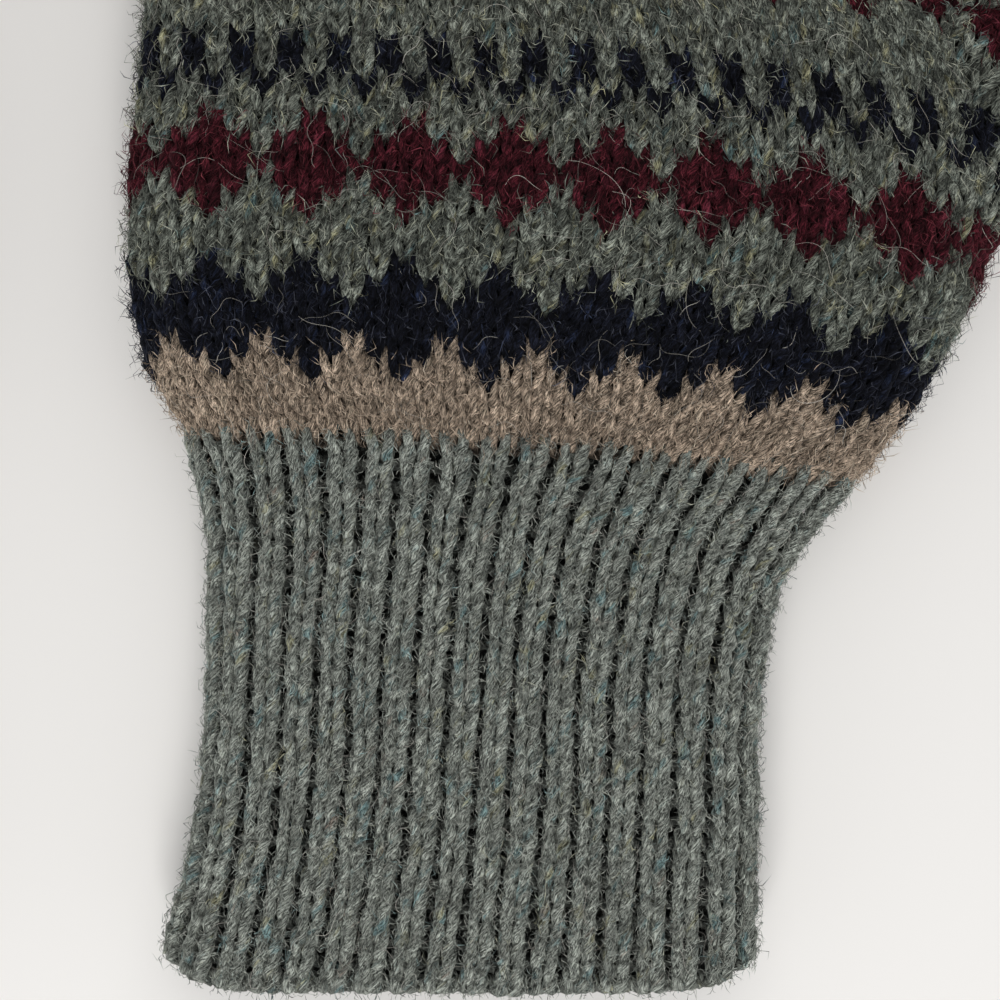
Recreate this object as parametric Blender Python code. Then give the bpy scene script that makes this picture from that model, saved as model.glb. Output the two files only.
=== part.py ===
"""A pair of Fair Isle knitted mittens lying palm up, thumbs outwards, as plain hollow solids.

Each mitten is one flattened tube of knitted fabric. It is modelled as the bands that a knitter works
one after the other, each in its own yarn: the cast-on edge, the ribbed cuff, the colour bands of the
hand with the thumb gusset in them, the bands of the finger part with its tip, and those of the thumb.
The frame is metres, +Z up, +Y from the cuffs to the fingertips, origin under the middle of the pair.
"""

import math

import bmesh
import bpy
from mathutils import Matrix, Vector

# Driving dimensions, in metres.
LENGTH = 0.252  # cuff edge to fingertip
HALF_SPREAD = 0.060  # each mitten's cuff centre line from the middle of the pair
WALL = 0.0028  # knitted fabric with its floats
EDGE_WALL = 0.0034  # the doubled yarn of the cast-on edge
GAP = 0.0003  # between neighbouring bands
ROW = 0.0029  # one row of stitches
CAST_ON = 0.0032  # height of the cast-on edge
CUFF_TOP = 0.0770  # length of the ribbed cuff
CUFF_THICK = 0.0150  # the cuff lying flat, both layers
HAND_THICK = 0.0190
HAND_FULL = 0.1050  # where the hand has its whole thickness
THUMB_THICK = 0.0170
KNUCKLE = 0.1470  # where the finger part starts, above the thumb
FINGER_LEFT = -0.0430
FINGER_RIGHT = 0.0520
FINGER_TAPER = 0.2000  # where the fingertip starts to narrow
CROTCH = (0.0540, KNUCKLE)  # between the thumb and the hand
THUMB_LEAN = math.radians(30)  # from +Y towards the outside
THUMB_BASE = 0.0380  # width of the gusset's top, which the thumb stands on
THUMB_WIDTH = 0.0360
THUMB_LENGTH = 0.0600
THUMB_TAPER = 0.0340  # where the thumb's tip starts to narrow
THUMB_DIR = Vector((math.sin(THUMB_LEAN), math.cos(THUMB_LEAN), 0))
THUMB_ACROSS = Vector((math.cos(THUMB_LEAN), -math.sin(THUMB_LEAN), 0))

# Edges of the flat cuff and hand: height of the row at its left end, x of its left end, x of its right
# end, and how far the right end drops below the left one.
HAND_ROWS = (
    (0.000, -0.0415, 0.0410, 0.0000),
    (0.010, -0.0392, 0.0410, 0.0000),
    (0.024, -0.0365, 0.0412, 0.0000),
    (0.050, -0.0350, 0.0425, 0.0020),
    (0.065, -0.0352, 0.0465, 0.0050),
    (0.077, -0.0385, 0.0550, 0.0070),
    (0.086, -0.0435, 0.0605, 0.0092),
    (0.098, -0.0458, 0.0670, 0.0115),
    (0.114, -0.0458, 0.0738, 0.0132),
    (0.130, -0.0442, 0.0805, 0.0150),
    (KNUCKLE, FINGER_LEFT, CROTCH[0] + THUMB_BASE * THUMB_ACROSS.x, 0.0190),
)
TIP_OUTLINE = 2.3  # how squarely a tip rounds, seen from above
TIP_EDGE = 4  # and seen from the side
DROP_POWER = 2.1  # a row is level on its left and bends down to its right
BEND_ROWS = 0.020  # over this height the rows turn into the gusset's top edge

FLAT_STEPS = 8  # quads across each flat side
GUSSET_STEPS = 3  # how many of them are on the gusset
ARC_STEPS = 6  # quads around each folded edge

# The bands: name, colour, first and last row above the cuff, counted from 0. None ends the part.
HAND_BANDS = (
    ("beige_band", "beige_yarn", 0, 4),
    ("navy_zigzag_band", "navy_yarn", 4, 7),
    ("lower_green_band", "green_yarn", 7, 10),
    ("burgundy_band", "burgundy_yarn", 10, 15),
    ("checker_band", "green_yarn", 15, 21),
    ("knuckle_band", "burgundy_yarn", 21, None),
)
FINGER_BANDS = (
    ("finger_green_band", "green_yarn", 0, 4),
    ("finger_navy_band", "navy_yarn", 4, 8),
    ("finger_beige_band", "beige_yarn", 8, 14),
    ("finger_upper_navy_band", "navy_yarn", 14, 18),
    ("finger_burgundy_band", "burgundy_yarn", 18, 25),
    ("finger_tip", "green_yarn", 25, None),
)
THUMB_BANDS = (
    ("thumb_base_band", "green_yarn", 0, 6),
    ("thumb_beige_band", "beige_yarn", 6, 12),
    ("thumb_tip", "navy_yarn", 12, None),
)
TIP_SHARES = (0.0, 0.3, 0.53, 0.71, 0.85, 0.945, 1.0)  # rows of a tip, as shares of its length
TIP_END = 0.985  # how far along its round outline a tip ends, in a small flat end face
CAVITY_SHARE = 0.95  # the cavity's length in a tip, as a share of the outside's
CUFF_STEPS = 7  # rows of quads up the ribbed cuff
CUFF_HINGE_DROP = 0.0035  # the wrist bends halfway between the ends of the cuff's sloping top row
CREASE = math.radians(40)  # edges sharper than this are shaded as creases

YARNS = {
    "green_yarn": (0.185, 0.205, 0.175),
    "rib_yarn": (0.165, 0.195, 0.185),
    "beige_yarn": (0.270, 0.215, 0.155),
    "navy_yarn": (0.016, 0.021, 0.042),
    "burgundy_yarn": (0.085, 0.016, 0.026),
}


def clear_scene():
    for obj in list(bpy.data.objects):
        bpy.data.objects.remove(obj, do_unlink=True)


def yarn_material(name):
    """The yarn's colour on a rough, non-metallic surface."""
    material = bpy.data.materials.get(name)
    if material is None:
        material = bpy.data.materials.new(name)
        material.use_nodes = True
        shader = material.node_tree.nodes["Principled BSDF"]
        shader.inputs["Base Color"].default_value = (*YARNS[name], 1.0)
        shader.inputs["Roughness"].default_value = 0.95
        shader.inputs["Metallic"].default_value = 0.0
        material.diffuse_color = (*YARNS[name], 1.0)
    return material


def between(table, height, column):
    """The table's column at this height, on a curve that passes through every entry with no corner."""
    last = len(table) - 1
    i = next((k for k in range(last) if height <= table[k + 1][0]), last - 1)
    low, high = table[i], table[i + 1]
    span = high[0] - low[0]
    before = table[max(i - 1, 0)]
    after = table[min(i + 2, last)]
    slope_low = (high[column] - before[column]) / (high[0] - before[0])
    slope_high = (after[column] - low[column]) / (after[0] - low[0])
    t = min(max((height - low[0]) / span, 0.0), 1.0)
    return (
        low[column] * (2 * t**3 - 3 * t**2 + 1)
        + slope_low * span * (t**3 - 2 * t**2 + t)
        + high[column] * (3 * t**2 - 2 * t**3)
        + slope_high * span * (t**3 - t**2)
    )


def smooth(low, high, value):
    t = min(max((value - low) / (high - low), 0.0), 1.0)
    return t * t * (3 - 2 * t)


def hand_y(height, share, crotch_share):
    """Height of a row at a share of its width: level, then dropping, and along the gusset's top at last."""
    drop = between(HAND_ROWS, height, 3)
    free = height - drop * share**DROP_POWER
    top = height - drop * max(0.0, (share - crotch_share) / (1 - crotch_share))
    return free + (top - free) * smooth(KNUCKLE - BEND_ROWS, KNUCKLE, height)


def hand_row(height):
    """(left x, right x, thickness, y at a share of the width) of one row of the cuff or hand."""
    left = between(HAND_ROWS, height, 1)
    right = between(HAND_ROWS, height, 2)
    thick = CUFF_THICK + (HAND_THICK - CUFF_THICK) * smooth(CUFF_TOP, HAND_FULL, height)
    top_left, top_right = HAND_ROWS[-1][1], HAND_ROWS[-1][2]
    crotch = (CROTCH[0] - top_left) / (top_right - top_left)
    return left, right, thick, lambda share: hand_y(height, share, crotch)


def tapered_row(height, left, right, thick, taper, end):
    """A level row of a part that narrows from taper to a round tip at end."""
    t = TIP_END * min(max((height - taper) / (end - taper), 0.0), 1.0)
    middle = (left + right) / 2
    half = (right - left) / 2 * (1 - t**TIP_OUTLINE) ** 0.5
    thick = thick * (1 - t**TIP_EDGE) ** 0.5
    return middle - half, middle + half, thick, lambda share: height


def finger_row(height):
    return tapered_row(height, FINGER_LEFT, FINGER_RIGHT, HAND_THICK, FINGER_TAPER, LENGTH)


def thumb_row(height):
    half = THUMB_WIDTH / 2
    return tapered_row(height, -half, half, THUMB_THICK, THUMB_TAPER, THUMB_LENGTH)


def flat_shares():
    """Stations across a flat side, with one of them at the thumb's crotch."""
    hand_left, hand_right = HAND_ROWS[-1][1], HAND_ROWS[-1][2]
    edge = HAND_THICK / 2
    crotch = (CROTCH[0] - hand_left - edge) / (hand_right - hand_left - 2 * edge)
    palm_steps = FLAT_STEPS - GUSSET_STEPS
    palm = [crotch * k / palm_steps for k in range(palm_steps)]
    gusset = [crotch + (1 - crotch) * k / GUSSET_STEPS for k in range(GUSSET_STEPS + 1)]
    return palm + gusset


def ring(row, inset):
    """One row's loop of points: flat underneath and on top, with a half circle at each folded edge."""
    left, right, thick, y_at = row
    edge = thick / 2
    radius = edge - inset
    inner_left, inner_right = left + edge, right - edge
    if inner_left > inner_right:
        inner_left = inner_right = (left + right) / 2
    points = []

    def add(x, z):
        share = (x - left) / (right - left)
        points.append(Vector((x, y_at(min(max(share, 0.0), 1.0)), z)))

    across = [inner_left + (inner_right - inner_left) * s for s in flat_shares()]
    for x in across:
        add(x, edge - radius)
    for k in range(1, ARC_STEPS):
        angle = math.pi * (k / ARC_STEPS - 0.5)
        add(inner_right + radius * math.cos(angle), edge + radius * math.sin(angle))
    for x in reversed(across):
        add(x, edge + radius)
    for k in range(1, ARC_STEPS):
        angle = math.pi * (k / ARC_STEPS + 0.5)
        add(inner_left + radius * math.cos(angle), edge + radius * math.sin(angle))
    return points


def add_rings(mesh, rings):
    return [[mesh.verts.new(point) for point in loop] for loop in rings]


def bridge(mesh, first, second):
    """Quads between two loops, facing out where the second is further along +Y than the first."""
    count = len(first)
    for k in range(count):
        n = (k + 1) % count
        mesh.faces.new((first[k], first[n], second[n], second[k]))


def shell_mesh(name, outer_rings, inner_rings, closed):
    """A tube with a wall: its outside, its inside and its rims, or its closed end in place of one rim."""
    mesh = bmesh.new()
    outer = add_rings(mesh, outer_rings)
    inner = add_rings(mesh, inner_rings)
    for low, high in zip(outer, outer[1:]):
        bridge(mesh, low, high)
    for low, high in zip(inner, inner[1:]):
        bridge(mesh, high, low)
    bridge(mesh, inner[0], outer[0])
    if closed:
        mesh.faces.new(outer[-1])
        mesh.faces.new(list(reversed(inner[-1])))
    else:
        bridge(mesh, outer[-1], inner[-1])
    bmesh.ops.remove_doubles(mesh, verts=mesh.verts, dist=1e-6)
    bmesh.ops.recalc_face_normals(mesh, faces=mesh.faces)
    data = bpy.data.meshes.new(name)
    mesh.to_mesh(data)
    mesh.free()
    return data


def tube_band(name, row_at, low, high, wall, steps=1):
    """An open ring of fabric between two rows."""
    heights = [low + (high - low) * k / steps for k in range(steps + 1)]
    outer = [ring(row_at(height), 0.0) for height in heights]
    inner = [ring(row_at(height), wall) for height in heights]
    return shell_mesh(name, outer, inner, False)


def tube_tip(name, row_at, low, taper, end):
    """The closed end of a tube. Its cavity ends short of the outside by about one wall."""
    outer_heights = [taper + (end - taper) * share for share in TIP_SHARES]
    inner_heights = [taper + (end - taper) * share * CAVITY_SHARE for share in TIP_SHARES]
    outer_heights = [low] + [height for height in outer_heights if height > low + ROW / 2]
    inner_heights = [low] + [height for height in inner_heights if height > low + ROW / 2]
    outer = [ring(row_at(height), 0.0) for height in outer_heights]
    inner = [ring(row_at(height), WALL) for height in inner_heights]
    return shell_mesh(name, outer, inner, True)


def add_node(name, data, colour, collection, hinge):
    """A node at its hinge's origin. The hinge's empty stands on the joint's axis."""
    data.transform(Matrix.Translation(-hinge["place"]))
    if hinge["mirrored"]:
        data.transform(Matrix.Scale(-1, 4, Vector((1, 0, 0))))
        data.flip_normals()
    data.materials.append(yarn_material(colour))
    for polygon in data.polygons:
        polygon.use_smooth = True
    data.set_sharp_from_angle(angle=CREASE)
    obj = bpy.data.objects.new(name, data)
    collection.objects.link(obj)
    obj.parent = hinge["empty"]


def add_hinge(name, place, collection, centre, mirrored):
    """An empty on a joint's axis, at a place given in the right-hand mitten's own frame."""
    empty = bpy.data.objects.new(name, None)
    empty.empty_display_size = 0.01
    collection.objects.link(empty)
    empty.parent = centre
    empty.location = Vector((-place.x, place.y, place.z)) if mirrored else place
    return {"empty": empty, "place": place, "mirrored": mirrored}


def add_bands(prefix, bands, row_at, bottom, taper, end, collection, hinge, frame=None):
    """The bands of one part, a gap apart. The last one is the closed tip, or an open end with no taper."""
    for name, colour, first, last in bands:
        low = bottom + first * ROW
        if last is not None:
            data = tube_band(name, row_at, low, bottom + last * ROW - GAP, WALL)
        elif taper is None:
            data = tube_band(name, row_at, low, end, WALL, steps=2)
        else:
            data = tube_tip(name, row_at, low, taper, end)
        if frame is not None:
            data.transform(frame)
        add_node(f"{prefix}_{name}", data, colour, collection, hinge)


def thumb_to_mitten():
    """Carries the thumb's own frame, with its base's middle at the origin, onto the gusset's top."""
    base = Vector((*CROTCH, 0)) + THUMB_ACROSS * (THUMB_BASE / 2) + THUMB_DIR * GAP
    return Matrix.Translation(base) @ Matrix.Rotation(-THUMB_LEAN, 4, "Z")


def build_mitten(prefix, mirrored):
    collection = bpy.data.collections["knitted_mittens"]
    centre = bpy.data.objects.new(f"{prefix}_mitten", None)
    collection.objects.link(centre)
    centre.location = (-HALF_SPREAD if mirrored else HALF_SPREAD, -LENGTH / 2, 0)

    top = HAND_THICK + GAP / 2
    thumb_frame = thumb_to_mitten()
    places = {
        "cuff": Vector((0, CUFF_TOP - CUFF_HINGE_DROP, CUFF_THICK + GAP)),
        "hand": Vector((0, 0, 0)),
        "fingers": Vector((0, KNUCKLE + GAP / 2, top)),
        "thumb": thumb_frame @ Vector((0, -GAP / 2, top)),
    }
    hinges = {
        name: add_hinge(f"{prefix}_{name}_hinge", place, collection, centre, mirrored)
        for name, place in places.items()
    }

    edge = tube_band("cast_on_edge", hand_row, 0.0, CAST_ON - GAP, EDGE_WALL)
    add_node(f"{prefix}_cast_on_edge", edge, "rib_yarn", collection, hinges["cuff"])
    cuff = tube_band("ribbed_cuff", hand_row, CAST_ON, CUFF_TOP - GAP, WALL, CUFF_STEPS)
    add_node(f"{prefix}_ribbed_cuff", cuff, "rib_yarn", collection, hinges["cuff"])
    add_bands(prefix, HAND_BANDS, hand_row, CUFF_TOP, None, KNUCKLE, collection, hinges["hand"])
    fingers = (KNUCKLE + GAP, FINGER_TAPER, LENGTH)
    add_bands(prefix, FINGER_BANDS, finger_row, *fingers, collection, hinges["fingers"])
    thumb = (0.0, THUMB_TAPER, THUMB_LENGTH)
    add_bands(prefix, THUMB_BANDS, thumb_row, *thumb, collection, hinges["thumb"], thumb_frame)


def main():
    clear_scene()
    collection = bpy.data.collections.new("knitted_mittens")
    bpy.context.scene.collection.children.link(collection)
    build_mitten("right", mirrored=False)
    build_mitten("left", mirrored=True)


main()
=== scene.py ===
"""Looks of a pair of Fair Isle mittens, knitted row by row.

Every row of yarn is one looped tube that runs round the mitten: its loops hang in the loops of the row
below, knit stitches show their legs on the outside, and purl stitches turn round. The loops are laid on
a smooth surface of the flat mitten, whose sizes repeat part.py's. Lengths here are millimetres in the
right-hand mitten's own frame (origin at the middle of its cuff's edge, +Y to the fingertips, +Z up)
until a mesh is made. The left-hand mitten is the right-hand one mirrored.
"""

import math
from collections import namedtuple

import bpy
import numpy as np
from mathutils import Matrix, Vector


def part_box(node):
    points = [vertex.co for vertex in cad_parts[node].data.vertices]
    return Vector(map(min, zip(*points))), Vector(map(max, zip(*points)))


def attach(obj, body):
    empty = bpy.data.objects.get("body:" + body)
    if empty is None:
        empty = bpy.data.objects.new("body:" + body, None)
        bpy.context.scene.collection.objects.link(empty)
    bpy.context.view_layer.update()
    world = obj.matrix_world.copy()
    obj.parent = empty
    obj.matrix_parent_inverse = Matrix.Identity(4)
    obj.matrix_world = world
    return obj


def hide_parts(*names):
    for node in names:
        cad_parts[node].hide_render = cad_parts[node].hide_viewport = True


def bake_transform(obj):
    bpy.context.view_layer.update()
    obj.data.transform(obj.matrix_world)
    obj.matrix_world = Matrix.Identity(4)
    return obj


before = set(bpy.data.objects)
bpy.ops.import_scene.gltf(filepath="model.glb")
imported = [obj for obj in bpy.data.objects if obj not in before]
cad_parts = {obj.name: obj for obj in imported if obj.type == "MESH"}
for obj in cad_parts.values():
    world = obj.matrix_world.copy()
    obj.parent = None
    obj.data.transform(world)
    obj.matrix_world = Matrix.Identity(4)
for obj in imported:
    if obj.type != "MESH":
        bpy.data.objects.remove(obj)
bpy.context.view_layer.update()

MM = 0.001
TAU = 2 * math.pi

# The mitten's sizes, as in part.py.
CUFF_TOP = 77.0
CUFF_THICK = 15.0
HAND_THICK = 19.0
KNUCKLE = 147.0
FINGER_LEFT, FINGER_RIGHT = -43.0, 52.0
FINGER_TAPER, LENGTH = 200.0, 252.0
THUMB_LEAN = math.radians(30)
THUMB_BASE, THUMB_WIDTH, THUMB_THICK = 38.0, 36.0, 17.0
THUMB_TAPER, THUMB_LENGTH = 34.0, 60.0
CROTCH = np.array([54.0, KNUCKLE])
THUMB_DIR = np.array([math.sin(THUMB_LEAN), math.cos(THUMB_LEAN)])
THUMB_ACROSS = np.array([math.cos(THUMB_LEAN), -math.sin(THUMB_LEAN)])
THUMB_MIDDLE = CROTCH + THUMB_ACROSS * THUMB_BASE / 2

# The knitting.
ROW = 2.7  # height of a hand row
CUFF_ROWS = 28
CUFF_ROW = CUFF_TOP / CUFF_ROWS
SPLIT_ROW = 28  # hand rows below the thumb's tube
SPLIT = CUFF_TOP + SPLIT_ROW * ROW
FINGER_ROWS = 64  # hand rows to the fingertips
THUMB_ROWS = 49  # hand rows to the thumb's tip
BASE = 36  # stitches on one face of the hand without the gusset, and of the cuff
THUMB_FACE = 14  # stitches on one face of the thumb
GUSSET_FACE = 12.4  # of them, those knitted in the gusset
INSET = 1.5  # the fabric's middle below its outer face

# ----------------------------------------------------------------------------- the fabric's surface

# Height of a row's left end, its left x, its right x, how far it drops across, and its extra drop at the
# right edge.
EDGES = (
    (0.0, -41.5, 41.0, 0.0, 0.0),
    (10.0, -39.2, 41.0, 0.0, 0.0),
    (24.0, -36.5, 41.2, 0.0, 0.0),
    (50.0, -35.0, 42.5, 2.0, 0.0),
    (65.0, -35.2, 46.5, 5.0, 0.0),
    (77.0, -38.5, 55.0, 7.0, 0.0),
    (86.0, -43.5, 60.5, 8.6, 0.6),
    (98.0, -45.8, 67.0, 9.5, 2.0),
    (114.0, -45.8, 73.8, 9.5, 3.7),
    (130.0, -44.2, 80.5, 9.0, 7.0),
    (SPLIT, -43.0, 87.0, 7.1, 17.3),
)
EDGE_STEP = 0.5  # between the samples of the curves through them
DROP_POWER, EDGE_POWER = 2.2, 8  # how late across the mitten the two drops set in
FULL_THICK = 105.0  # the fabric is as thick as the hand from this height
CORNER = 5.5  # how far the cuff's corners round upwards
CORNER_HEIGHT, CORNER_POWER = 22, 10  # up to where, and how close to the corner
GUSSET_FROM = CUFF_TOP + 3 * ROW  # the gusset's first increase
GUSSET_POWER = 2.8
FINGER_DROP = 5.4  # how far the fingers' first row drops across
FINGER_LEVEL = LENGTH - 15  # where their rows are level
JOINING = 13  # height over which the hand turns into the fingers' and the thumb's tubes
TIP_STOP = 0.985  # the share of a tip's taper at which its outline stops
TIP_OUTLINE, TIP_EDGE = 2.3, 4  # how full a tip is, seen flat and from its edge


def smooth(low, high, value):
    t = np.clip((value - low) / (high - low), 0, 1)
    return t * t * (3 - 2 * t)


def unit(vectors):
    return vectors / np.maximum(np.linalg.norm(vectors, axis=-1, keepdims=True), 1e-9)


def edge_curves():
    """The columns of EDGES as smooth curves, sampled every EDGE_STEP."""
    table = np.array(EDGES)
    heights = np.arange(table[0, 0], table[-1, 0] + EDGE_STEP, EDGE_STEP)
    slopes = np.gradient(table[:, 1:], table[:, 0], axis=0)
    i = np.clip(np.searchsorted(table[:, 0], heights, side="right") - 1, 0, len(table) - 2)
    span = (table[i + 1, 0] - table[i, 0])[:, None]
    t = np.clip((heights - table[i, 0])[:, None] / span, 0, 1)
    low, high = table[i, 1:], table[i + 1, 1:]
    curves = (
        low * (2 * t**3 - 3 * t**2 + 1)
        + slopes[i] * span * (t**3 - 2 * t**2 + t)
        + high * (3 * t**2 - 2 * t**3)
        + slopes[i + 1] * span * (t**3 - t**2)
    )
    return heights, curves


EDGE_HEIGHTS, EDGE_CURVES = edge_curves()


def edge(height, column):
    return np.interp(height, EDGE_HEIGHTS, EDGE_CURVES[:, column])


def perimeter(left, right, thick):
    return 2 * np.maximum(right - left - thick, 0) + TAU * (thick / 2 - INSET)


def stadium(arc, left, right, thick):
    """x and z at an arc length from the left edge's middle, over the top where positive."""
    r = thick / 2 - INSET
    flat = np.maximum(right - left - thick, 0)
    middle = (left + right) / 2
    quarter = math.pi * r / 2
    s = np.abs(arc)
    half = 2 * quarter + flat
    below = np.sign(arc)
    over = s > half
    s = np.where(over, 2 * half - s, s)
    below = np.where(over, -below, below)
    turn_left = np.clip(s / r, 0, math.pi / 2)
    turn_right = np.clip((s - quarter - flat) / r, 0, math.pi / 2)
    along = np.clip(s - quarter, 0, flat)
    x = middle - flat / 2 - r * np.cos(turn_left) + along + r * np.sin(turn_right)
    z = np.where(s < quarter, r * np.sin(turn_left), r * np.cos(turn_right))
    return x, thick / 2 + np.where(below < 0, -z, z)


def taper(height, half, thick, start, end):
    """Half width and thickness of a tube that closes in a round tip."""
    t = TIP_STOP * np.clip((height - start) / (end - start), 0, 1)
    return half * (1 - t**TIP_OUTLINE) ** 0.5, thick * (1 - t**TIP_EDGE) ** 0.5


def gusset_half(height):
    """Stitches of one face of the gusset at this height."""
    return GUSSET_FACE * np.clip((height - GUSSET_FROM) / (SPLIT - GUSSET_FROM), 0, 1) ** GUSSET_POWER


def full_tube(part, cells, height):
    """A point on the cuff or hand, so many stitches from the left edge or, for the gusset, the right."""
    left, right = edge(height, 0), edge(height, 1)
    thick = CUFF_THICK + (HAND_THICK - CUFF_THICK) * smooth(CUFF_TOP - 2, FULL_THICK, height)
    around = perimeter(left, right, thick)
    width = around / 2 / (BASE + gusset_half(height))
    arc = np.where(part == 0, cells * width, around / 2 - cells * width)
    x, z = stadium(arc, left, right, thick)
    share = np.clip((x - left) / (right - left), 0, 1)
    y = height - edge(height, 2) * share**DROP_POWER - edge(height, 3) * share**EDGE_POWER
    y = y + CORNER * (2 * share - 1) ** CORNER_POWER * (1 - smooth(0, CORNER_HEIGHT, height))
    return np.stack([x, y, z], -1), thick


FINGER_PITCH = perimeter(FINGER_LEFT, FINGER_RIGHT, HAND_THICK) / 2 / BASE
THUMB_PITCH = perimeter(-THUMB_WIDTH / 2, THUMB_WIDTH / 2, THUMB_THICK) / 2 / THUMB_FACE


def finger_tube(cells, height):
    middle = (FINGER_LEFT + FINGER_RIGHT) / 2
    half, thick = taper(height, (FINGER_RIGHT - FINGER_LEFT) / 2, HAND_THICK, FINGER_TAPER, LENGTH)
    around = perimeter(middle - half, middle + half, thick)
    arc = around / 4 + (cells - BASE / 2) * FINGER_PITCH
    x, z = stadium(arc, middle - half, middle + half, thick)
    share = np.clip((x - FINGER_LEFT) / (FINGER_RIGHT - FINGER_LEFT), 0, 1)
    drop = FINGER_DROP * (1 - smooth(SPLIT, FINGER_LEVEL, height))
    y = height - drop * share**DROP_POWER
    return np.stack([x, y, z], -1), thick


def thumb_tube(cells, height):
    half, thick = taper(height, THUMB_WIDTH / 2, THUMB_THICK, THUMB_TAPER, THUMB_LENGTH)
    around = perimeter(-half, half, thick)
    arc = around / 4 + (THUMB_FACE / 2 - cells) * THUMB_PITCH
    x, z = stadium(arc, -half, half, thick)
    flat = THUMB_MIDDLE + x[..., None] * THUMB_ACROSS + height[..., None] * THUMB_DIR
    return np.stack([flat[..., 0], flat[..., 1], z], -1), thick


def fabric(part, cells, side, height):
    """The middle of the fabric. part 0 counts stitches from the left edge, part 1 (gusset and thumb) from
    the outer edge; side is 1 on the palm and -1 on the back. Above SPLIT the two parts are two tubes."""
    part, cells, side, height = np.broadcast_arrays(part, cells, side, height)
    cells = cells.astype(float)
    height = height.astype(float)
    whole, whole_thick = full_tube(part, cells, np.minimum(height, SPLIT))
    finger, finger_thick = finger_tube(cells, height)
    stretch = 1 + (THUMB_FACE / GUSSET_FACE - 1) * (height < SPLIT)
    thumb, thumb_thick = thumb_tube(cells * stretch, height - SPLIT)
    base = part == 0
    tube = np.where(base[..., None], finger, thumb)
    tube_thick = np.where(base, finger_thick, thumb_thick)
    t = smooth(SPLIT - JOINING, SPLIT, height)
    point = whole + (tube - whole) * t[..., None]
    thick = whole_thick + (tube_thick - whole_thick) * t
    point[..., 2] = np.where(side < 0, thick - point[..., 2], point[..., 2])
    return relief(point)


BROAD_WAVE, FINE_WAVE = 0.55, 0.35
WAVES_FROM, WAVES_FULL = 5, 12  # the underside lies flat, and the waves set in between these heights


def relief(point):
    """The soft unevenness of a mitten that has been worn. The sines' wavelengths don't fit each other, so
    that nothing repeats."""
    x, y = point[..., 0], point[..., 1]
    waves = (
        BROAD_WAVE * np.sin(x / 17 + y / 31 + 0.6) * np.sin(y / 23 - x / 47 + 1.1)
        + FINE_WAVE * np.sin(x / 8.3 - y / 19 + 2.0) * np.sin(y / 11 + 0.4)
    )
    lifted = point.copy()
    lifted[..., 2] += waves * smooth(WAVES_FROM, WAVES_FULL, point[..., 2])
    return lifted


def outward(part, cells, side, height):
    """Unit normal of the fabric, away from the hand."""
    aside, above = 0.05, 0.2
    across = fabric(part, cells + aside, side, height) - fabric(part, cells - aside, side, height)
    along = fabric(part, cells, side, height + above) - fabric(part, cells, side, height - above)
    normal = np.cross(across, along)
    flip = np.where(np.asarray(part) == 0, 1.0, -1.0) * side
    normal *= np.broadcast_to(flip, normal.shape[:-1])[..., None]
    return unit(normal)


# ---------------------------------------------------------------------------------------- stitches

GREEN, RIB, BEIGE, NAVY, BURGUNDY = range(5)
INSIDE = 5  # added to a yarn's number for the inner face of its fabric
STRAY = 20  # the number of the long loose fibres
PEAK, VALLEY = 0, 2  # columns of the four-stitch repeat
CHART_ROWS, CHART_TURN = 36, 23  # rows of the repeat, and of them those before it runs back down
CHART_MIRROR = 38  # the sum of a row on the way up and its twin on the way down


def chart(row, column):
    """The yarn of a hand stitch. The chart runs up to its check, then back down, and so on."""
    step = row % CHART_ROWS
    line = step if step < CHART_TURN else CHART_MIRROR - step
    place = column % 4
    if line < 3:
        return BEIGE
    if line == 3:
        return NAVY if place == PEAK else BEIGE
    if line == 4:
        return BEIGE if place == VALLEY else NAVY
    if line < 7:
        return NAVY
    if line == 7:
        return GREEN if place == VALLEY else NAVY
    if line == 8:
        return NAVY if place == PEAK else GREEN
    if line in (11, 15):
        return BURGUNDY if place == PEAK else GREEN
    if line in (12, 14):
        return GREEN if place == VALLEY else BURGUNDY
    if line == 13:
        return BURGUNDY
    if line == 17:
        return GREEN if column % 2 else NAVY
    if line in (18, 19):
        return NAVY if column % 2 else GREEN
    return GREEN


# Loop shape, in stitch widths and row heights, and its depth in millimetres.
SAMPLES = 11  # points along one stitch
SWING, RIB_SWING = 0.235, 0.18  # how far a loop leans over its own foot
REACH = 1.05  # half of the loop's height
DEPTH = 0.72  # how far it weaves in front of and behind the fabric's middle
YARN_R, RIB_YARN_R = 0.70, 0.77
RIB_KNIT = 0.815  # the knit column's share of one rib
RIB_UP, RIB_DOWN = 0.45, 2.5  # a knit column's rise and a purl column's fall
RIB_TURN = 1.3  # how deep the yarn passes from one to the other
TILT = 0.08  # a stitch leans sideways by up to this
UNEVEN = 0.13  # a stitch is higher or lower, and its yarn thicker or thinner, by up to this share
DEPTHS = 0.65, 1.3  # shares of DEPTH that a stitch may have
SWERVE_X, SWERVE_Y = 0.24, 0.28  # how far a row strays from its line
LOWEST, TIP_ROOM = 0.9, 1.2  # the yarn stays this far above the cuff's edge and below a tip's end

Path = namedtuple("Path", "points normals depth radius yarn")  # one closed length of yarn


def face_half(height, part):
    """Stitches on half a face of the fingers' or the thumb's tube at this height."""
    if part == 0:
        half, thick = taper(height, (FINGER_RIGHT - FINGER_LEFT) / 2, HAND_THICK, FINGER_TAPER, LENGTH)
        return perimeter(-half, half, thick) / 4 / FINGER_PITCH
    half, thick = taper(height - SPLIT, THUMB_WIDTH / 2, THUMB_THICK, THUMB_TAPER, THUMB_LENGTH)
    return perimeter(-half, half, thick) / 4 / THUMB_PITCH


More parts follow.
